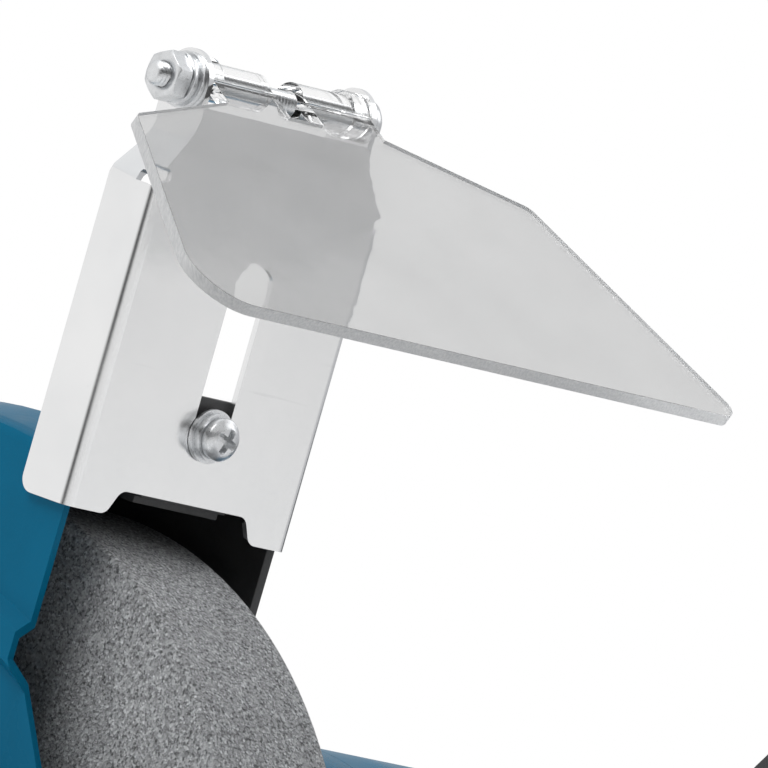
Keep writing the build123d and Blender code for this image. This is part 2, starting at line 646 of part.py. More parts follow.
def make_tool_rest():
    """Table in front of the wheel with a slotted flange down its inboard side."""
    near = WHEEL_RADIUS + REST_GAP
    middle = -WHEEL_MID_X
    z_top = SPINDLE_HEIGHT + REST_TOP
    flange_x = GUARD_FACE_X + 3.3
    table_out = middle - REST_HALF
    table_in = flange_x + 2.5
    width = table_in - table_out
    centre = Pos((table_in + table_out) / 2, -(near + REST_DEPTH / 2), z_top)
    table = centre * Box(width, REST_DEPTH, REST_SHEET, align=(Align.CENTER, Align.CENTER, Align.MAX))
    front = table.edges().filter_by(Axis.Z).group_by(Axis.Y)[0]
    table = fillet(front, 6.0)
    flange = side_plate(
        [(near + 3, REST_TOP - 1), (near + REST_DEPTH - 2, REST_TOP - 1),
         (near + REST_DEPTH - 2, -REST_FLANGE_DEPTH), (near + 3, -REST_FLANGE_DEPTH)],
        flange_x, flange_x + 2.5)
    flange = fillet(flange.edges().filter_by(Axis.X).group_by(Axis.Z)[0], 5.0)
    forward, up = REST_BOLT
    slot = SlotOverall(REST_TRAVEL + 2 * REST_BOLT_RADIUS + 1.0, 2 * REST_BOLT_RADIUS + 0.8)
    slot_middle = forward - REST_TRAVEL / 2
    slot = Plane(origin=(flange_x - 1, -slot_middle, SPINDLE_HEIGHT + up), x_dir=(0, 1, 0), z_dir=(1, 0, 0)) * slot
    return table + flange - extrude(slot, 6, dir=(1, 0, 0))


def make_rest_bolt():
    forward, up = REST_BOLT
    bolt = rod(REST_BOLT_RADIUS, GUARD_FACE_X, GUARD_FACE_X + 20, forward, up)
    head = rod(6.2, GUARD_FACE_X - 2.6, GUARD_FACE_X, forward, up)
    return bolt + fillet(head.edges().group_by(Axis.X)[0], 1.8)


def make_rest_knob():
    """Lobed clamp knob with a brass-coloured boss moulded in."""
    forward, up = REST_BOLT
    x0 = GUARD_FACE_X + 6.1
    knob = rod(7.0, x0, x0 + 5, forward, up) + rod(11.0, x0 + 4, x0 + 15, forward, up)
    for index in range(6):
        dy, dz = polar(13.5, index * 60)
        knob -= rod(3.6, x0 + 4, x0 + 16, forward + dy, up + dz)
    return knob - rod(REST_BOLT_RADIUS + 0.06, x0 - 1, x0 + 14.0, forward, up)


def make_rest_screws():
    screws = []
    for forward, up in rest_screw_places():
        place = Pos(GUARD_FACE_X + 3, -forward, SPINDLE_HEIGHT + up) * Rot(0, 90, 0)
        screws.append(place * pan_screw(4.4, 2.8, 2.5, 4.7))
    return screws


# ---- base ---------------------------------------------------------------------------------
def lug_places():
    return [(x, y) for x in (-HOLE_HALF_X, HOLE_HALF_X) for y in (-HOLE_HALF_Y, HOLE_HALF_Y)]


def post_places():
    return [(x, y) for x in (-56.0, 56.0) for y in (-42.0, 42.0)]


def make_base():
    """Hollow cast foot, its saddle for the motor and four bolting lugs."""
    outer = RectangleRounded(2 * BASE_HALF_X, 2 * BASE_HALF_Y, 14)
    height = BASE_TOP - FOOT_HEIGHT
    body = Pos(0, 0, FOOT_HEIGHT) * extrude(outer, height, taper=BASE_TAPER)
    body = fillet(body.edges().group_by(Axis.Z)[-1], 5.0)
    neck = RectangleRounded(2 * NECK_HALF_X, 2 * NECK_HALF_Y, 10)
    body += Pos(0, 0, FOOT_HEIGHT + 10) * extrude(neck, NECK_TOP - FOOT_HEIGHT - 10)
    panel = RectangleRounded(52, 30, 5)
    panel = Plane(origin=(0, PANEL_Y, SWITCH_Z), x_dir=(1, 0, 0), z_dir=(0, 1, 0)) * panel
    body += extrude(panel, 24, dir=(0, 1, 0))
    for x, y in lug_places():
        lug = Pos(x, y, FOOT_HEIGHT) * Cylinder(LUG_RADIUS, LUG_TOP - FOOT_HEIGHT, align=LOW)
        arm = Pos(x * 0.85, y * 0.8, FOOT_HEIGHT) * Box(24, 26, LUG_TOP - FOOT_HEIGHT, align=LOW)
        body += lug + arm
    inner = RectangleRounded(2 * (BASE_HALF_X - BASE_WALL), 2 * (BASE_HALF_Y - BASE_WALL), 10)
    hollow = Pos(0, 0, FOOT_HEIGHT) * extrude(inner, height - BASE_WALL, taper=BASE_TAPER)
    hollow += Pos(0, 0, FOOT_HEIGHT + 10) * Box(
        2 * (NECK_HALF_X - 5), 2 * (NECK_HALF_Y - 5), NECK_CEILING - FOOT_HEIGHT - 10, align=LOW)
    body -= hollow
    body -= rod(MOTOR_RADIUS, -200, 200)
    body -= Pos(0, 0, NECK_CEILING + 4) * Cylinder(7, 20)
    for x in SADDLE_SCREW_X:
        body -= Pos(x, 0, NECK_CEILING + 4) * Cylinder(2.45, 20)
    for x, y in post_places():
        post = Pos(x, y, FOOT_HEIGHT + 1.5) * Cylinder(5, BASE_TOP - FOOT_HEIGHT - 4, align=LOW)
        body += post - Pos(x, y, FOOT_HEIGHT) * Cylinder(1.9, 14, align=LOW)
    for x, y in lug_places():
        body -= Pos(x, y, 0) * Cylinder(HOLE_RADIUS, 60, align=LOW)
    body -= Pos(0, PANEL_Y, SWITCH_Z) * Box(SWITCH_BODY[0] + 0.4, 80, SWITCH_BODY[1] + 0.4)
    gland_hole = Pos(GLAND_X, BASE_HALF_Y - 10, GLAND_Z) * Rot(90, 0, 0) * Cylinder(7.0, 40)
    return body - gland_hole


def make_bottom_plate():
    plate = RectangleRounded(2 * (BASE_HALF_X - BASE_WALL) - 0.6, 2 * (BASE_HALF_Y - BASE_WALL) - 0.6, 9.7)
    body = Pos(0, 0, FOOT_HEIGHT) * extrude(plate, 1.5)
    for x, y in post_places():
        body -= Pos(x, y, 0) * Cylinder(2.2, 30)
    return body


def make_bottom_screws():
    return [Pos(x, y, FOOT_HEIGHT) * Rot(180, 0, 0) * pan_screw(3.6, 2.2, 1.9, 9.0) for x, y in post_places()]


def make_feet():
    """Rubber feet with a through hole for the bench bolts."""
    feet = []
    for x, y in lug_places():
        foot = Cylinder(FOOT_RADIUS, FOOT_HEIGHT, align=LOW)
        foot = chamfer(foot.edges().group_by(Axis.Z)[0], 1.2)
        foot -= Cylinder(HOLE_RADIUS, 60)
        feet.append(Pos(x, y, 0) * foot)
    return feet


def make_saddle_screws():
    """Screws that hold the motor's barrel down on the saddle."""
    screws = []
    for x in SADDLE_SCREW_X:
        place = Pos(x, 0, NECK_CEILING) * Rot(180, 0, 0)
        screws.append(place * pan_screw(4.4, 2.8, 2.4, 8.3))
    return screws


def make_switch_frame():
    """Switch body with its bezel, open at the front for the rocker."""
    width, height = SWITCH_BODY
    bezel = Plane(origin=(0, PANEL_Y - 1.8, SWITCH_Z), x_dir=(1, 0, 0), z_dir=(0, 1, 0))
    body = extrude(bezel * RectangleRounded(width + 5, height + 5, 2.5), 1.8, dir=(0, 1, 0))
    body += Pos(0, PANEL_Y + 11, SWITCH_Z) * Box(width, 22.2, height)
    body -= Pos(0, PANEL_Y, SWITCH_Z) * Box(width - 4, 13, height - 4)
    for side in (-1, 0, 1):
        body += Pos(side * 7, PANEL_Y + 25, SWITCH_Z) * Box(4.8, 7, 0.8)
    return body


def make_rocker():
    """Rocker in its off position, its lower half pushed in."""
    place = Pos(0, PANEL_Y + ROCKER_PIVOT, SWITCH_Z)
    width = SWITCH_BODY[0] - 5.2
    body = place * Rot(0, 90, 0) * Cylinder(ROCKER_RADIUS, width)
    low, middle, high = (-1.6, -7.4), (-2.9, 0.0), (-4.2, 6.3)
    kept = [low, middle, high, (3.0, 8.0), (3.0, -8.0), (-1.6, -8.0)]
    outline = [(PANEL_Y + ROCKER_PIVOT + y, SWITCH_Z + z) for y, z in kept]
    profile = Plane.YZ * make_face(Polyline(outline, close=True))
    return body & (Pos(-width / 2, 0, 0) * extrude(profile, width, dir=(1, 0, 0)))


def make_capacitor():
    can = Pos(-30, 14, 32) * Rot(0, 90, 0) * Cylinder(13, 46)
    return fillet(can.edges().group_by(Axis.X)[-1], 2.0)


def make_capacitor_clip():
    clip = Pos(-30, 14, 32) * Rot(0, 90, 0) * (Cylinder(14.2, 12) - Cylinder(13, 20))
    tab = Pos(-30, 28.0, 45.2) * Box(12, 26, 1.5)
    return clip + tab - Pos(-30, 14, 32) * Rot(0, 90, 0) * Cylinder(13, 20)


def make_terminal_block():
    block = Pos(26, 10, 20) * Box(40, 14, 12)
    for index in range(4):
        block -= Pos(11 + index * 10, 10, 26) * Cylinder(2.4, 6)
        block -= Pos(11 + index * 10, 10, 19) * Box(4, 20, 4)
    return block


def make_cord_gland():
    """Screwed gland in the base's back wall, bored for the supply cord."""
    z = GLAND_Z
    profile = ((7.0, -12, 6), (10.0, 6, 9), (9.0, 9, 16), (7.5, 16, 21))
    wall_y = BASE_HALF_Y - 4.5
    gland = None
    for radius, near, far in profile:
        slice_ = Pos(GLAND_X, wall_y + near, z) * Rot(-90, 0, 0) * Cylinder(radius, far - near, align=LOW)
        gland = slice_ if gland is None else gland + slice_
    return gland - Pos(GLAND_X, wall_y, z) * Rot(90, 0, 0) * Cylinder(CORD_RADIUS, 80)


# ---- write every piece -----------------------------------------------------------------------
def main():
    os.makedirs("parts", exist_ok=True)
    inner_ring, outer_ring, balls = make_bearing_rings()
    save("spindle_shaft", make_shaft())
    save("rotor_core", make_rotor_core())
    save("rotor_end_rings", *both(make_end_ring()))
    save("bearing_inner_rings", *both(inner_ring))
    save("bearing_outer_rings", *both(outer_ring))
    save("bearing_balls", *balls, *[mirrored(ball) for ball in balls])
    save("inner_wheel_flanges", *both(make_flange(False)))
    save("outer_wheel_flanges", *both(make_flange(True)))
    blotters = make_blotters()
    save("wheel_blotters", *blotters, *[mirrored(disc) for disc in blotters])

    save("motor_housing", make_housing())
    save("stator_core", make_stator_core())
    save("stator_windings", make_windings())
    save("tie_bolts", *make_tie_bolts())
    save("tie_bolt_nuts", *make_tie_nuts())

    pairs = {
        "grinding_wheel": make_wheel, "spindle_nut": make_spindle_nut, "end_bell": make_bell,
        "inner_guard": make_inner_guard, "wheel_cover": make_cover,
        "shield_bracket": make_bracket, "hinge_bolt": make_hinge_bolt,
        "hinge_nut": make_hinge_nut, "eye_shield": make_shield,
        "rest_bracket": make_rest_bracket, "tool_rest": make_tool_rest,
        "rest_knob": make_rest_knob,
    }
    for name, maker in pairs.items():
        piece = maker()
        save("left_" + name, piece)
        save("right_" + name, mirrored(piece))
    washers = make_hinge_washers()
    save("left_hinge_washers", *washers)
    save("right_hinge_washers", *[mirrored(washer) for washer in washers])

    for name, pieces in {
        "cover_screws": make_cover_screws(), "guard_screws": make_guard_screws(),
        "clamp_screws": [make_clamp_screw()], "clamp_washers": make_clamp_washers(),
        "clamp_nuts": [make_clamp_nut()], "rest_bolts": [make_rest_bolt()],
        "rest_bracket_screws": make_rest_screws(),
    }.items():
        save(name, *pieces, *[mirrored(piece) for piece in pieces])

    save("base", make_base())
    save("bottom_plate", make_bottom_plate())
    save("bottom_plate_screws", *make_bottom_screws())
    save("rubber_feet", *make_feet())
    save("saddle_screws", *make_saddle_screws())
    save("switch_frame", make_switch_frame())
    save("switch_rocker", make_rocker())
    save("capacitor", make_capacitor())
    save("capacitor_clip", make_capacitor_clip())
    save("terminal_block", make_terminal_block())
    save("cord_gland", make_cord_gland())


main()
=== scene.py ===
import json
import math

import bmesh
import bpy
from mathutils import Matrix, Vector


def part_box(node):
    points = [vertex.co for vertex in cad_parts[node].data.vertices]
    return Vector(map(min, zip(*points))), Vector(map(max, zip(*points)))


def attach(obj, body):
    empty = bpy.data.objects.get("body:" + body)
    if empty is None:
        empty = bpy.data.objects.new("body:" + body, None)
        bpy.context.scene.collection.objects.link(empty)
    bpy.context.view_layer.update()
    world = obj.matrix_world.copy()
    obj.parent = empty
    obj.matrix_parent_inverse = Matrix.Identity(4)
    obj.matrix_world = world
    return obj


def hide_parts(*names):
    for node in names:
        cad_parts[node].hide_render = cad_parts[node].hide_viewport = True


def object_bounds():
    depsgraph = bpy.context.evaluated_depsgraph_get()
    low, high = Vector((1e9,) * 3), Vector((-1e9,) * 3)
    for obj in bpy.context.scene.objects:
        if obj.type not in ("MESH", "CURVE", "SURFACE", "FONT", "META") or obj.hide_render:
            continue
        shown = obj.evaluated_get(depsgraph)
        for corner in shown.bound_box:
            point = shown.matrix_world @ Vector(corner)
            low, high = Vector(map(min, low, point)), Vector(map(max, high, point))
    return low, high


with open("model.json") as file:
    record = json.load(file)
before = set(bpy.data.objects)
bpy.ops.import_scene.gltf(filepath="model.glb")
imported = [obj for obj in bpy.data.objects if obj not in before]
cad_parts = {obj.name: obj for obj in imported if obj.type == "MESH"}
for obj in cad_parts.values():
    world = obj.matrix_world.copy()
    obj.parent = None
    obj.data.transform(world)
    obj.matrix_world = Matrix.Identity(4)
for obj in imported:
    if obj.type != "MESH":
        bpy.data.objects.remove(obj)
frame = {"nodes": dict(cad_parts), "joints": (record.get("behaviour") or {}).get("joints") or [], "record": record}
cad_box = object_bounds()

# ---- driving values, in metres and degrees ---------------------------------------
MM = 0.001
AZIMUTH = -45.85              # of the camera, seen from the object
ELEVATION = -12.89
DISTANCE = 2.5
LENS = 769.6
SENSOR = 36.0
AIM_FROM_WHEEL = (0.03928, -0.06884, 0.08640)   # from the outboard face, on the spindle axis

FLOOR_RADIUS = 0.60
FLOOR_FADE = 0.30             # radius inside which the floor is opaque
FLOOR_POINTS = 96

STUDIO = (0.86, 0.87, 0.88)   # light from the sides
LENS_SHADE = 0.05             # light from round the lens
SKY_HORIZON = (0.62, 0.62, 0.63)
SWEEP = 0.80                  # light from well below the horizon
CARD = 0.90                   # light from the card that faces the object's outer side
LAMPS = {                     # place, size in metres, power in watts
    "key": ((-0.9, -0.3, 1.1), 0.7, 6),
    "fill": ((0.9, -0.9, 0.8), 0.9, 4),
}

SIDES = {"left": -1, "right": 1}
SPINDLE_Z = next(joint for joint in frame["joints"] if joint["name"] == "rotor_spin")["pos_m"][2]


# ---- node trees --------------------------------------------------------------------
class Tree:
    """Short calls for the nodes of a material or of the world."""

    def __init__(self, owner):
        owner.use_nodes = True
        self.nodes = owner.node_tree.nodes
        self.links = owner.node_tree.links

    def join(self, value, socket):
        if isinstance(value, bpy.types.NodeSocket):
            self.links.new(value, socket)
        else:
            socket.default_value = value

    def ramp(self, value, *stops):
        """Colour or grey level by value: stops are (position, grey or (r, g, b))."""
        node = self.nodes.new("ShaderNodeValToRGB")
        elements = node.color_ramp.elements
        while len(elements) < len(stops):
            elements.new(0.5)
        for element, (position, colour) in zip(elements, stops):
            element.position = position
            rgb = (colour,) * 3 if isinstance(colour, (int, float)) else colour
            element.color = (*rgb, 1)
        self.links.new(value, node.inputs["Fac"])
        return node.outputs["Color"]

    def mix(self, factor, first, second, blend="MIX"):
        node = self.nodes.new("ShaderNodeMix")
        node.data_type = "RGBA"
        node.blend_type = blend
        self.join(factor, node.inputs[0])
        for value, socket in ((first, node.inputs[6]), (second, node.inputs[7])):
            self.join((*value, 1) if isinstance(value, tuple) else value, socket)
        return node.outputs[2]

    def maths(self, operation, first, second=0.0):
        node = self.nodes.new("ShaderNodeMath")
        node.operation = operation
        self.join(first, node.inputs[0])
        self.join(second, node.inputs[1])
        return node.outputs[0]

    def along(self, direction, vector):
        """How far a vector points in a direction, from -1 to 1."""
        node = self.nodes.new("ShaderNodeVectorMath")
        node.operation = "DOT_PRODUCT"
        node.inputs[1].default_value = direction
        self.links.new(vector, node.inputs[0])
        return node.outputs["Value"]


class Surface(Tree):
    """A material around one Principled shader, patterned by place on the object."""

    def __init__(self, name, **values):
        self.material = bpy.data.materials.new(name)
        super().__init__(self.material)
        self.shader = self.nodes["Principled BSDF"]
        self.place = self.nodes.new("ShaderNodeTexCoord").outputs["Object"]
        for socket, value in values.items():
            self.shader.inputs[socket.replace("_", " ")].default_value = value

    def stretched(self, x, y, z):
        node = self.nodes.new("ShaderNodeMapping")
        node.inputs["Scale"].default_value = (x, y, z)
        self.links.new(self.place, node.inputs["Vector"])
        return node.outputs["Vector"]

    def noise(self, size, detail=3.0, roughness=0.5, vector=None):
        """Noise whose blobs are about size metres across."""
        node = self.nodes.new("ShaderNodeTexNoise")
        node.inputs["Scale"].default_value = 1 / size
        node.inputs["Detail"].default_value = detail
        node.inputs["Roughness"].default_value = roughness
        self.links.new(vector or self.place, node.inputs["Vector"])
        return node.outputs["Fac"]

    def cells(self, size, output="Distance"):
        """Cells about size metres across: the distance from their middles, or a colour each."""
        node = self.nodes.new("ShaderNodeTexVoronoi")
        node.inputs["Scale"].default_value = 1 / size
        self.links.new(self.place, node.inputs["Vector"])
        return node.outputs[output]

    def bands(self, size, axis="X", distortion=0.0):
        """Bands that repeat every size metres along an axis."""
        node = self.nodes.new("ShaderNodeTexWave")
        node.bands_direction = axis
        node.inputs["Scale"].default_value = math.pi / 10 / size
        node.inputs["Distortion"].default_value = distortion
        self.links.new(self.place, node.inputs["Vector"])
        return node.outputs["Fac"]

    def colour(self, value):
        self.join(value, self.shader.inputs["Base Color"])

    def rough(self, value, low, high):
        """Roughness from low to high as value goes from 0.3 to 0.7."""
        self.join(self.ramp(value, (0.3, low), (0.7, high)), self.shader.inputs["Roughness"])

    def bump(self, *layers):
        """Layers of (height, depth in metres), one on another."""
        normal = None
        for height, depth in layers:
            node = self.nodes.new("ShaderNodeBump")
            node.inputs["Distance"].default_value = depth
            self.links.new(height, node.inputs["Height"])
            if normal:
                self.links.new(normal, node.inputs["Normal"])
            normal = node.outputs["Normal"]
        self.links.new(normal, self.shader.inputs["Normal"])


def shade(rgb, factor):
    return tuple(min(1.0, channel * factor) for channel in rgb)


# ---- materials ------------------------------------------------------------------------
def enamel(name, rgb, roughness=0.3):
    """Stoved paint: slight orange peel, cloudy gloss and faint dust."""
    s = Surface(name, Coat_Weight=0.03, Coat_Roughness=0.15, Specular_IOR_Level=0.06)
    cloud = s.noise(14 * MM, 4)
    fleck = s.noise(0.35 * MM, 2)
    tone = s.ramp(cloud, (0.3, shade(rgb, 0.93)), (0.7, shade(rgb, 1.07)))
    s.colour(s.mix(s.ramp(fleck, (0.62, 0.0), (0.8, 0.10)), tone, shade(rgb, 1.9)))
    s.rough(cloud, roughness - 0.05, roughness + 0.08)
    s.bump((s.noise(1.6 * MM, 2), 0.03 * MM), (s.noise(0.4 * MM, 2), 0.006 * MM))
    return s.material


def powder_coat(name, rgb):
    """Satin textured black of the pressed guard."""
    s = Surface(name, Specular_IOR_Level=0.45)
    grain = s.noise(0.45 * MM, 4, 0.6)
    cloud = s.noise(11 * MM, 3)
    s.colour(s.ramp(cloud, (0.3, shade(rgb, 0.8)), (0.7, shade(rgb, 1.3))))
    s.rough(grain, 0.42, 0.6)
    s.bump((grain, 0.05 * MM))
    return s.material


def bright_sheet(name):
    """Polished and plated steel: fine draw lines, clouded gloss, a few hairline marks."""
    s = Surface(name, Metallic=1.0)
    cloud = s.noise(18 * MM, 4, 0.55)
    lines = s.noise(0.5 * MM, 3, 0.6, s.stretched(1, 0.03, 0.03))
    hair = s.noise(1.1 * MM, 2, 0.5, s.stretched(0.04, 1, 1))
    tone = s.ramp(cloud, (0.3, (0.83, 0.835, 0.84)), (0.7, (0.90, 0.90, 0.90)))
    s.colour(s.mix(s.ramp(hair, (0.70, 0.0), (0.78, 0.25)), tone, (0.70, 0.70, 0.71)))
    s.rough(cloud, 0.14, 0.22)
    s.bump((lines, 0.0025 * MM), (cloud, 0.05 * MM))
    return s.material


def zinc(name, rgb=(0.74, 0.75, 0.76), roughness=0.24):
    """Plated fasteners: turning marks, small dull specks."""
    s = Surface(name, Metallic=1.0)
    cloud = s.noise(3 * MM, 4, 0.6)
    speck = s.noise(0.3 * MM, 3, 0.6)
    tone = s.ramp(cloud, (0.3, shade(rgb, 0.86)), (0.7, shade(rgb, 1.12)))
    s.colour(s.mix(s.ramp(speck, (0.6, 0.0), (0.75, 0.5)), tone, shade(rgb, 0.62)))
    s.rough(speck, roughness, roughness + 0.16)
    s.bump((s.noise(0.16 * MM, 2), 0.008 * MM), (cloud, 0.02 * MM))
    return s.material


def steel(name, rgb, roughness):
    """Machined or pressed grey steel with fine turned rings along the spindle."""
    s = Surface(name, Metallic=1.0)
    rings = s.noise(0.25 * MM, 2, 0.5, s.stretched(1, 0.05, 0.05))
    cloud = s.noise(9 * MM, 4, 0.6)
    s.colour(s.ramp(cloud, (0.3, shade(rgb, 0.82)), (0.7, shade(rgb, 1.12))))
    s.rough(cloud, roughness, roughness + 0.15)
    s.bump((rings, 0.008 * MM))
    return s.material


def cast_metal(name, rgb):
    """As-cast aluminium: grainy skin."""
    s = Surface(name, Metallic=1.0)
    grain = s.noise(0.6 * MM, 5, 0.65)
    cloud = s.noise(12 * MM, 3)
    s.colour(s.ramp(cloud, (0.3, shade(rgb, 0.8)), (0.7, rgb)))
    s.rough(grain, 0.4, 0.62)
    s.bump((grain, 0.12 * MM))
    return s.material


GRAIN = 0.36 * MM
PORE = 0.55 * MM


def grit(name):
    """Bonded abrasive: dark and light grains about a third of a millimetre across, with pores."""
    s = Surface(name, Roughness=0.9, Specular_IOR_Level=0.25)
    grains = s.maths("MULTIPLY", s.cells(GRAIN, "Color"), 1.0)
    tone = s.ramp(grains, (0.0, 0.16), (0.35, 0.30), (0.7, 0.42), (0.95, 0.66))
    pores = s.ramp(s.noise(PORE, 3, 0.6), (0.36, 0.35), (0.48, 1.0))
    cloud = s.ramp(s.noise(9 * MM, 4, 0.6), (0.3, 0.90), (0.7, 1.08))
    shaded = s.mix(1.0, s.mix(1.0, tone, pores, "MULTIPLY"), cloud, "MULTIPLY")
    s.colour(s.mix(1.0, shaded, (0.98, 1.0, 1.02), "MULTIPLY"))
    s.bump((s.noise(PORE, 3, 0.6), 0.22 * MM), (s.cells(GRAIN), 0.10 * MM))
    return s.material


def clear_plastic(name, tint=0.59):
    """Moulded clear acrylic of a grey tint: faint flow waves and scuffs. Lets lamps through."""
    s = Surface(name, Transmission_Weight=1.0, IOR=1.49)
    flow = s.noise(16 * MM, 2, 0.4)
    scuff = s.noise(0.5 * MM, 3, 0.6, s.stretched(0.05, 1, 1))
    s.colour(s.ramp(flow, (0.3, tint), (0.7, tint + 0.05)))
    s.rough(scuff, 0.015, 0.05)
    s.bump((flow, 0.10 * MM))
    path = s.nodes.new("ShaderNodeLightPath")
    clear = s.nodes.new("ShaderNodeBsdfTransparent")
    clear.inputs["Color"].default_value = (0.86, 0.865, 0.87, 1)
    mixed = s.nodes.new("ShaderNodeMixShader")
    s.links.new(path.outputs["Is Shadow Ray"], mixed.inputs[0])
    s.links.new(s.shader.outputs[0], mixed.inputs[1])
    s.links.new(clear.outputs[0], mixed.inputs[2])
    s.links.new(mixed.outputs[0], s.nodes["Material Output"].inputs["Surface"])
    return s.material


def painted_highlight_edge(name):
    """Cut edge of the clear sheet, half clear and matt, coloured pale grey as a painted highlight along the pane's
    edges.
    """
    s = Surface(name, Transmission_Weight=0.35, IOR=1.49)
    marks = s.noise(0.35 * MM, 3, 0.6, s.stretched(1, 1, 0.2))
    # painted highlight: the pale grey of the edge faces stands in for light caught along the pane's edges
    s.colour(s.ramp(marks, (0.3, (0.66, 0.67, 0.68)), (0.7, (0.90, 0.90, 0.90))))
    s.rough(marks, 0.3, 0.5)
    s.bump((marks, 0.02 * MM))
    return s.material


def moulded(name, rgb, roughness=0.42, grain=0.5 * MM, depth=0.02 * MM):
    """Moulded plastic with a spark-eroded grain."""
    s = Surface(name, Specular_IOR_Level=0.5)
    cloud = s.noise(10 * MM, 3)
    s.colour(s.ramp(cloud, (0.3, shade(rgb, 0.88)), (0.7, shade(rgb, 1.12))))
    s.rough(cloud, roughness - 0.06, roughness + 0.08)
    s.bump((s.noise(grain, 3, 0.55), depth))
    return s.material


def rubber(name):
    s = Surface(name, Specular_IOR_Level=0.3)
    dust = s.noise(5 * MM, 5, 0.65)
    s.colour(s.ramp(dust, (0.4, (0.014, 0.014, 0.014)), (0.75, (0.05, 0.049, 0.047))))
    s.rough(dust, 0.66, 0.85)
    s.bump((s.noise(0.6 * MM, 3), 0.05 * MM))
    return s.material


def laminated(name):
    """Stack of half-millimetre sheets along the spindle, lightly rusted."""
    s = Surface(name, Metallic=1.0)
    sheets = s.bands(0.5 * MM)
    cloud = s.noise(8 * MM, 4, 0.6)
    base = s.ramp(cloud, (0.3, (0.30, 0.29, 0.28)), (0.75, (0.40, 0.36, 0.32)))
    s.colour(s.mix(s.ramp(sheets, (0.0, 0.7), (0.3, 0.0)), base, (0.06, 0.055, 0.05)))
    s.rough(cloud, 0.4, 0.6)
    s.bump((sheets, 0.08 * MM))
    return s.material


def winding(name):
    """Lacquered copper wire laid side by side."""
    s = Surface(name, Metallic=0.9, Coat_Weight=0.6, Coat_Roughness=0.15)
    wires = s.bands(0.8 * MM, "Y", 1.5)
    cloud = s.noise(6 * MM, 4)
    base = s.ramp(cloud, (0.3, (0.42, 0.13, 0.045)), (0.7, (0.62, 0.23, 0.08)))
    s.colour(s.mix(s.ramp(wires, (0.0, 0.7), (0.35, 0.0)), base, (0.08, 0.025, 0.01)))
    s.rough(cloud, 0.28, 0.42)
    s.bump((wires, 0.2 * MM))
    return s.material


def galvanised(name):
    """Zinc spangle in flat crystals."""
    s = Surface(name, Metallic=1.0)
    spangle = s.cells(5 * MM, "Color")
    crystals = s.maths("MULTIPLY", spangle, 1.0)
    s.colour(s.ramp(crystals, (0.1, (0.42, 0.44, 0.46)), (0.9, (0.60, 0.62, 0.64))))
    s.rough(s.noise(4 * MM, 3), 0.3, 0.5)
    s.bump((s.noise(0.4 * MM, 2), 0.01 * MM))
    return s.material


def card(name):
    """Compressed paper of the wheel washers."""
    s = Surface(name, Roughness=0.9)
    fibre = s.noise(0.5 * MM, 4, 0.7)
    s.colour(s.ramp(fibre, (0.3, (0.20, 0.165, 0.12)), (0.7, (0.36, 0.31, 0.24))))
    s.bump((fibre, 0.05 * MM))
    return s.material


FINISH = {
    "blue_paint": enamel("petrol_enamel", (0.000, 0.122, 0.230)),
    "black_paint": powder_coat("guard_black", (0.040, 0.040, 0.041)),
    "bright_steel": bright_sheet("plated_sheet"),
    "plated_hardware": zinc("zinc_plate"),
    "black_oxide": steel("black_oxide_steel", (0.05, 0.05, 0.052), 0.38),
    "abrasive": grit("bonded_grit"),
    "clear_plastic": clear_plastic("clear_acrylic"),
    # cut_edge: pale grey painted highlight on the shield's edges
    "cut_edge": painted_highlight_edge("clear_acrylic_edge"),
    "knuckle": clear_plastic("clear_acrylic_knuckle", 0.93),
    "grey_steel": steel("rest_steel", (0.42, 0.43, 0.44), 0.34),
    "black_plastic": moulded("black_moulding", (0.018, 0.018, 0.019)),
    "red_plastic": moulded("red_moulding", (0.50, 0.014, 0.012), 0.3, 0.3 * MM, 0.005 * MM),
    "shaft_steel": steel("ground_shaft", (0.56, 0.56, 0.57), 0.2),
    "laminated_steel": laminated("core_sheets"),
    "cast_aluminium": cast_metal("cast_rotor_rings", (0.60, 0.60, 0.61)),
    "flange_steel": steel("flange_steel", (0.46, 0.46, 0.47), 0.32),
    "blotter_paper": card("blotter_card"),
    "copper_winding": winding("lacquered_copper"),
    "galvanised_plate": galvanised("zinc_spangle"),
    "rubber": rubber("foot_rubber"),
    "aluminium_can": steel("drawn_can", (0.70, 0.70, 0.71), 0.26),
    "white_plastic": moulded("cream_moulding", (0.66, 0.64, 0.58)),
}

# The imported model's materials carry the slots' names.
SLOTS = {}
for node, thing in frame["nodes"].items():
    slot = SLOTS[node] = thing.data.materials[0].name
    thing.data.materials.clear()
    thing.data.materials.append(FINISH[slot])


# ---- rounded copies of the CAD pieces --------------------------------------------------
EDGE_ANGLE = math.radians(32)
FLAT_ANGLE = math.radians(1)
SMOOTH_ANGLE = math.radians(46)
WELD = 0.002 * MM
EDGE_STEPS = 2
KNUCKLE_REACH = 4.5 * MM      # from the hinge axis to the outside of a knuckle, and a little more
SIDEWAYS = 0.6                # cosine below which a face is one of the pane's edges

# Edge radius in millimetres of the paired pieces, then of the single ones.
EDGES = {
    "shield_bracket": 0.22, "eye_shield": 0.3, "hinge_washers": 0.12, "wheel_cover": 0.3,
    "inner_guard": 0.3, "end_bell": 0.8, "grinding_wheel": 0.7, "spindle_nut": 0.4,
    "tool_rest": 0.5, "rest_bracket": 0.4, "rest_knob": 0.6,
}
SINGLE_EDGES = {
    "motor_housing": 0.5, "base": 0.9, "rubber_feet": 0.8, "switch_frame": 0.5, "switch_rocker": 0.4,
    "clamp_washers": 0.12, "clamp_nuts": 0.2, "rest_bolts": 0.2, "cord_gland": 0.3, "bottom_plate": 0.3,
    "tie_bolt_nuts": 0.2, "outer_wheel_flanges": 0.4, "cover_screws": 0.15,
}


def finish_mesh(mesh):
    mesh.shade_smooth()
    mesh.set_sharp_from_angle(angle=SMOOTH_ANGLE)


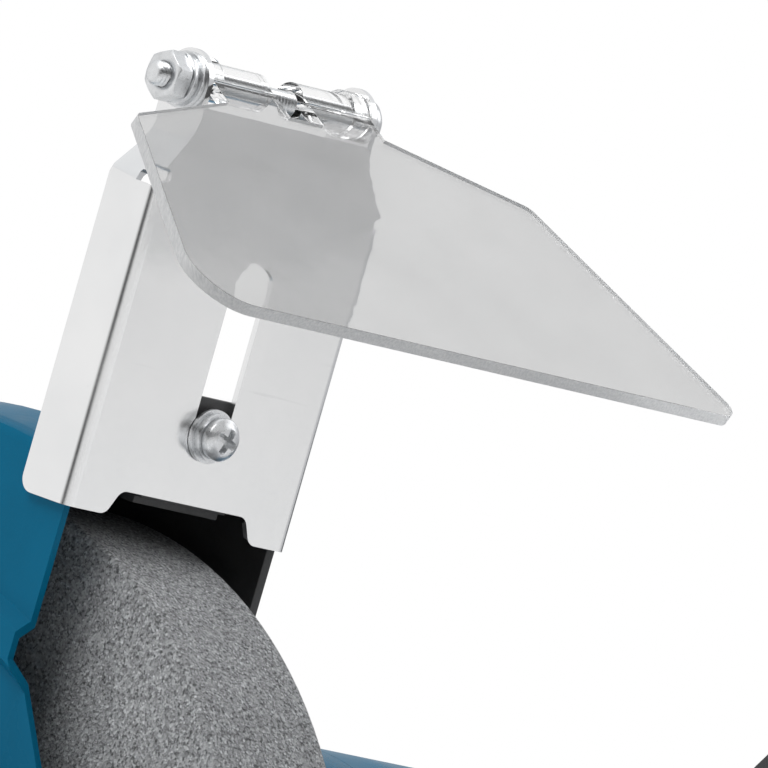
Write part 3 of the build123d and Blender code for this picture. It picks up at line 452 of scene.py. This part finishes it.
def softened(node, width):
    """Copy of a CAD piece with its sharp edges rounded to width, in place of that piece."""
    source = frame["nodes"][node]
    form = bmesh.new()
    form.from_mesh(source.data)
    bmesh.ops.remove_doubles(form, verts=form.verts, dist=WELD)
    bmesh.ops.dissolve_limit(form, angle_limit=FLAT_ANGLE, verts=form.verts, edges=form.edges)
    sharp = [e for e in form.edges if len(e.link_faces) == 2 and e.calc_face_angle() > EDGE_ANGLE]
    bmesh.ops.bevel(
        form, geom=sharp, offset=width, segments=EDGE_STEPS, profile=0.5, affect="EDGES", clamp_overlap=True)
    mesh = bpy.data.meshes.new(node + "_rounded")
    form.to_mesh(mesh)
    form.free()
    if "custom_normal" in mesh.attributes:
        mesh.attributes.remove(mesh.attributes["custom_normal"])
    mesh.materials.clear()
    mesh.materials.append(source.data.materials[0])
    finish_mesh(mesh)
    piece = bpy.data.objects.new(node + "_rounded", mesh)
    bpy.context.scene.collection.objects.link(piece)
    even = piece.modifiers.new("even", "WEIGHTED_NORMAL")
    even.keep_sharp = True
    body = next(b for b, nodes in frame["record"]["behaviour"]["bodies"].items() if node in nodes)
    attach(piece, body)
    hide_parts(node)
    return piece


def edge_shield(piece):
    """Gives the pane's cut edges the pale grey painted highlight and its knuckles a paler tint."""
    piece.data.materials.append(FINISH["cut_edge"])
    piece.data.materials.append(FINISH["knuckle"])
    low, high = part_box(piece.name.removesuffix("_eye_shield_rounded") + "_hinge_bolt")
    middle = (low + high) / 2
    biggest = max(piece.data.polygons, key=lambda face: face.area)
    for face in piece.data.polygons:
        reach = Vector((0, *(face.center - middle).yz)).length
        if reach < KNUCKLE_REACH:
            face.material_index = 2
        elif abs(face.normal.dot(biggest.normal)) < SIDEWAYS:
            face.material_index = 1


for part, width in EDGES.items():
    for side in SIDES:
        piece = softened(f"{side}_{part}", width * MM)
        if part == "eye_shield":
            edge_shield(piece)
for part, width in SINGLE_EDGES.items():
    softened(part, width * MM)


# ---- threaded hardware -------------------------------------------------------------------
PITCH = 0.7 * MM
THREAD_DEPTH = 0.36 * MM
TURN = 48                     # points round a turned piece
FINE_TURN = 96                # points round a nut or a cross-head screw
THREAD_STEPS = 6              # rings to each pitch
CHAMFER = math.radians(30)    # of the nut's corners
RECESS_REACH = 2.0 * MM
RECESS_ARM = 0.42 * MM        # half the width of the cross's arms
RECESS_DEPTH = 1.5 * MM
CROSS_LEAN = 0.35             # of the cross, sideways for each unit up the plate
DOME_RINGS = 22
HINGE_RADIUS = 2.0 * MM
BOLT_HEAD = (3.7 * MM, 2.6 * MM)
NUT_FLATS = 7.0 * MM
CLAMP_HEAD = (3.3 * MM, 2.5 * MM)
CLAMP_SEAT = 25.4 * MM        # underside of the clamp screw's head, from the spindle
CLAMP_ALONG = 92.0 * MM       # up the bracket's plate, from the spindle
CLAMP_INBOARD = 1.0 * MM
CLAMP_SHANK = 9.4 * MM
CLAMP_RADIUS = 1.9 * MM       # of the shank


class Lathe:
    """Points round an axis: at(along, radius, turn) with turn in radians."""

    def __init__(self, origin, axis, start):
        self.origin, self.axis = Vector(origin), Vector(axis).normalized()
        self.u = (Vector(start) - self.axis * self.axis.dot(Vector(start))).normalized()
        self.v = self.axis.cross(self.u)

    def at(self, along, radius, turn):
        return self.origin + self.axis * along + (self.u * math.cos(turn) + self.v * math.sin(turn)) * radius

    def ring(self, along, radius, count=TURN):
        """A ring whose distance along the axis and radius may be functions of the turn."""
        points = []
        for index in range(count):
            turn = math.tau * index / count
            a = along(turn) if callable(along) else along
            b = radius(turn) if callable(radius) else radius
            points.append(self.at(a, b, turn))
        return points


def piece_from(name, shells, slot_name, body, node, closed=False):
    """One piece from shells, each a list of rings; closed joins the last ring to the first."""
    form = bmesh.new()
    for rings in shells:
        grid = [[form.verts.new(point) for point in ring] for ring in rings]
        pairs = list(zip(grid, grid[1:] + ([grid[0]] if closed else [])))
        for low, high in pairs:
            count = len(low)
            for i in range(count):
                j = (i + 1) % count
                form.faces.new((low[i], low[j], high[j], high[i]))
        if not closed:
            form.faces.new(grid[0][::-1])
            form.faces.new(grid[-1])
    bmesh.ops.recalc_face_normals(form, faces=form.faces)
    mesh = bpy.data.meshes.new(name)
    form.to_mesh(mesh)
    form.free()
    mesh.materials.append(FINISH[slot_name])
    finish_mesh(mesh)
    piece = bpy.data.objects.new(name, mesh)
    bpy.context.scene.collection.objects.link(piece)
    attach(piece, body)
    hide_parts(node)
    return piece


def thread(lathe, start, end, radius):
    """Rings of a helical thread from start to end."""
    rings = []
    count = round(abs(end - start) / PITCH * THREAD_STEPS)
    for step in range(count + 1):
        along = start + (end - start) * step / count

        def height(turn):
            phase = (along / PITCH - turn / math.tau) % 1
            return radius - THREAD_DEPTH * abs(2 * phase - 1)

        rings.append(lathe.ring(along, height))
    return rings


def hinge_bolt(side, sign):
    """Bolt threaded from its tip, which is on the outboard side, to its dimpled head."""
    low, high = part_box(side + "_hinge_bolt")
    mid = (low + high) / 2
    tip, head = (high.x, low.x) if sign > 0 else (low.x, high.x)
    lathe = Lathe((tip, mid.y, mid.z), (-sign, 0, 0), (0, 0, 1))
    length = abs(head - tip)
    radius, thick = BOLT_HEAD
    body = HINGE_RADIUS - 0.03 * MM
    rings = [lathe.ring(0, 1.2 * MM), lathe.ring(0.25 * MM, body - THREAD_DEPTH)]
    rings += thread(lathe, 0.45 * MM, length - thick - 0.05 * MM, body)
    seat = length - thick
    for along, r in ((0, body), (0, radius - 0.15 * MM), (0.15 * MM, radius), (thick * 0.55, radius),
                     (thick * 0.85, radius * 0.82), (thick, radius * 0.5), (thick, radius * 0.42),
                     (thick * 0.45, radius * 0.40), (thick * 0.42, radius * 0.05)):
        rings.append(lathe.ring(seat + along, r))
    piece_from(side + "_hinge_bolt_threaded", [rings], "plated_hardware", side + "_bracket",
               side + "_hinge_bolt")


def hinge_nut(side):
    """Hexagon with both faces chamfered to a ring."""
    low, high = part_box(side + "_hinge_nut")
    mid = (low + high) / 2
    lathe = Lathe((low.x, mid.y, mid.z), (1, 0, 0), (0, 0, 1))
    thick = high.x - low.x
    ring_radius = NUT_FLATS / 2 - 0.12 * MM
    slope = math.tan(CHAMFER)

    def flats(turn):
        wedge = math.pi / 3
        return NUT_FLATS / 2 / math.cos((turn + wedge / 2) % wedge - wedge / 2) - 0.02 * MM

    def near(turn):
        return (flats(turn) - ring_radius) * slope

    def far(turn):
        return thick - near(turn)

    profile = (
        (0.15 * MM, HINGE_RADIUS), (0.0, HINGE_RADIUS + 0.15 * MM), (0.0, ring_radius),
        (near, flats), (far, flats), (thick, ring_radius), (thick, HINGE_RADIUS),
    )
    rings = [lathe.ring(along, radius, FINE_TURN) for along, radius in profile]
    piece_from(side + "_hinge_nut_faceted", [rings], "plated_hardware", side + "_bracket",
               side + "_hinge_nut", closed=True)


def cross_recess(radius, turn):
    """Depth of a cross-head recess at a place on the head."""
    u, v = abs(radius * math.cos(turn)), abs(radius * math.sin(turn))
    across = min(1, max(0, 1.35 - min(u, v) / RECESS_ARM) * 2.5)
    along = min(1, max(0, 1.0 - max(u, v) / RECESS_REACH) * 3.0)
    return RECESS_DEPTH * across * along


def clamp_screws():
    """Pan-head cross-recess screws that hold the brackets to the guards."""
    shells = []
    radius, thick = CLAMP_HEAD
    for side, sign in SIDES.items():
        along = Vector(next(j for j in frame["joints"] if j["name"] == side + "_bracket_slide")["axis"])
        out = along.cross(Vector((1, 0, 0)))
        if out.y > 0:
            out = -out
        x = sign * (abs(sum(c.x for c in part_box(side + "_grinding_wheel")) / 2) - CLAMP_INBOARD)
        seat = Vector((x, 0, SPINDLE_Z)) + along * CLAMP_ALONG + out * CLAMP_SEAT
        lathe = Lathe(seat, out, along + Vector((CROSS_LEAN, 0, 0)))
        profile = (
            (-CLAMP_SHANK, 1.5 * MM), (-CLAMP_SHANK + 0.3 * MM, CLAMP_RADIUS), (0, CLAMP_RADIUS),
            (0, radius - 0.2 * MM), (0.2 * MM, radius), (thick * 0.5, radius),
        )
        rings = [lathe.ring(height, r, FINE_TURN) for height, r in profile]
        for step in range(DOME_RINGS, 0, -1):
            r = radius * 0.985 * step / DOME_RINGS
            dome = thick * (1 - 0.45 * (step / DOME_RINGS) ** 4)
            rings.append(lathe.ring(lambda turn: dome - cross_recess(r, turn), r, FINE_TURN))
        shells.append(rings)
    piece_from("clamp_screws_cross", shells, "plated_hardware", "frame", "clamp_screws")


for side, sign in SIDES.items():
    hinge_bolt(side, sign)
    hinge_nut(side)
clamp_screws()


# ---- stage, light and camera ---------------------------------------------------------
def make_floor():
    """Pale disc that fades out towards its rim."""
    mesh = bpy.data.meshes.new("floor")
    form = bmesh.new()
    bmesh.ops.create_circle(form, cap_ends=True, segments=FLOOR_POINTS, radius=FLOOR_RADIUS)
    form.to_mesh(mesh)
    form.free()
    floor = bpy.data.objects.new("floor", mesh)
    bpy.context.scene.collection.objects.link(floor)
    floor.location.z = cad_box[0].z
    s = Surface("pale_floor", Roughness=0.7)
    s.colour(s.ramp(s.noise(0.05, 3), (0.3, 0.86), (0.7, 0.90)))
    distance = s.nodes.new("ShaderNodeVectorMath")
    distance.operation = "LENGTH"
    s.links.new(s.place, distance.inputs[0])
    reach = s.maths("DIVIDE", distance.outputs["Value"], FLOOR_RADIUS)
    alpha = s.ramp(reach, (FLOOR_FADE / FLOOR_RADIUS, 1.0), (0.99, 0.0))
    s.join(alpha, s.shader.inputs["Alpha"])
    mesh.materials.append(s.material)
    return floor


def camera_axes():
    """Unit vectors towards the camera, to its right and up."""
    a, e = math.radians(AZIMUTH), math.radians(ELEVATION)
    back = Vector((math.sin(a) * math.cos(e), -math.cos(a) * math.cos(e), math.sin(e)))
    right = Vector((math.cos(a), math.sin(a), 0))
    return back, right, back.cross(right)


def make_world():
    """White for what the camera sees past the object, and a soft studio for its light.

    The studio is dark round the lens, paler overhead, and bright below the horizon like a
    sweep of paper. A card mirrored from the lens lights the object's outer side.
    """
    world = bpy.data.worlds.new("studio")
    bpy.context.scene.world = world
    tree = Tree(world)
    direction = tree.nodes.new("ShaderNodeTexCoord").outputs["Generated"]
    split = tree.nodes.new("ShaderNodeSeparateXYZ")
    tree.links.new(direction, split.inputs[0])
    height = split.outputs["Z"]
    lens_side = camera_axes()[0]
    card_side = lens_side * Vector((1, -1, -1))
    sides = tree.ramp(tree.along(lens_side, direction), (0.30, STUDIO), (0.85, LENS_SHADE))
    sky = tree.ramp(height, (0.0, SKY_HORIZON), (0.9, 1.0))
    sweep = tree.ramp(tree.maths("ADD", height, 0.5), (0.22, SWEEP), (0.30, 0.0))
    card = tree.ramp(tree.along(card_side, direction), (0.55, 0.0), (0.85, CARD))
    light = tree.mix(1.0, sides, sky, "MULTIPLY")
    light = tree.mix(1.0, light, sweep, "LIGHTEN")
    light = tree.mix(1.0, light, card, "LIGHTEN")
    studio = tree.nodes["Background"]
    tree.links.new(light, studio.inputs["Color"])
    white = tree.nodes.new("ShaderNodeBackground")
    white.inputs["Color"].default_value = (1, 1, 1, 1)
    path = tree.nodes.new("ShaderNodeLightPath")
    seen = tree.maths("MAXIMUM", path.outputs["Is Camera Ray"], path.outputs["Is Transmission Ray"])
    mixed = tree.nodes.new("ShaderNodeMixShader")
    tree.links.new(seen, mixed.inputs[0])
    tree.links.new(studio.outputs[0], mixed.inputs[1])
    tree.links.new(white.outputs[0], mixed.inputs[2])
    tree.links.new(mixed.outputs[0], tree.nodes["World Output"].inputs["Surface"])


def make_lamp(name, place, target, size, power):
    lamp = bpy.data.lights.new(name, "AREA")
    lamp.shape = "SQUARE"
    lamp.size = size
    lamp.energy = power
    thing = bpy.data.objects.new(name, lamp)
    bpy.context.scene.collection.objects.link(thing)
    thing.location = place
    thing.rotation_euler = (Vector(target) - Vector(place)).to_track_quat("-Z", "Y").to_euler()


def make_camera():
    back, right, up = camera_axes()
    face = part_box("left_grinding_wheel")[0].x
    aim = Vector((face, 0, SPINDLE_Z)) + Vector(AIM_FROM_WHEEL)
    lens = bpy.data.cameras.new("camera")
    lens.lens = LENS
    lens.sensor_width = SENSOR
    lens.clip_end = 100
    camera = bpy.data.objects.new("camera", lens)
    bpy.context.scene.collection.objects.link(camera)
    camera.location = aim + back * DISTANCE
    camera.rotation_euler = Matrix((right, up, back)).transposed().to_euler()
    bpy.context.scene.camera = camera


make_floor()
make_world()
middle = (cad_box[0] + cad_box[1]) / 2
for name, (place, size, power) in LAMPS.items():
    make_lamp(name, place, middle, size, power)
make_camera()
bpy.context.scene.view_settings.view_transform = "Standard"
